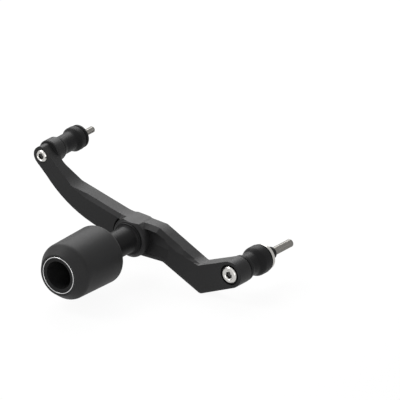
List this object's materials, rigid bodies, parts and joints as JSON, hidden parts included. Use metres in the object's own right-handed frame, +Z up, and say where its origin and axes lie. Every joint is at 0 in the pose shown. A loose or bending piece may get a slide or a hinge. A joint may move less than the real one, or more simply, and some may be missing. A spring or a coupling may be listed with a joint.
{
  "type": "motorcycle crash protector",
  "caption": "Bent black bar arm for a motorcycle's side, held by frame bolts through turned spacers, with a hollow tapered bobbin standing out on a spindle.",
  "frame": {"origin": "on the lower frame bolt's axis, in the plane where the lower end washer meets the motorcycle's frame", "axes": "+X forward along the arm, +Y inboard towards the motorcycle along the frame bolts, +Z up; this is the unit for the motorcycle's left side"},
  "size_m": [0.2645, 0.2215, 0.1097],
  "materials": {
    "anodised_black": "satin black anodised",
    "nylon_black": "matt machined nylon",
    "rubber_black": "matt",
    "bright_steel": "bright zinc plated",
    "plain_steel": "plain steel"
  },
  "bodies": {
    "root": {"arm": "anodised_black", "spindle": "anodised_black", "spindle_bolt": "bright_steel", "spindle_bolt_washer": "bright_steel", "bobbin": "nylon_black", "bobbin_core": "anodised_black", "nose_ring": "anodised_black", "bobbin_bolt": "bright_steel", "bobbin_bolt_washer": "bright_steel", "upper_bolt": "bright_steel", "upper_spacer": "anodised_black", "upper_spacer_ring": "rubber_black", "upper_end_washer": "anodised_black", "lower_bolt": "bright_steel", "lower_spacer": "anodised_black", "lower_spacer_ring": "rubber_black", "lower_end_washer": "plain_steel", "bolt_retainer": "rubber_black"}
  },
  "joints": []
}
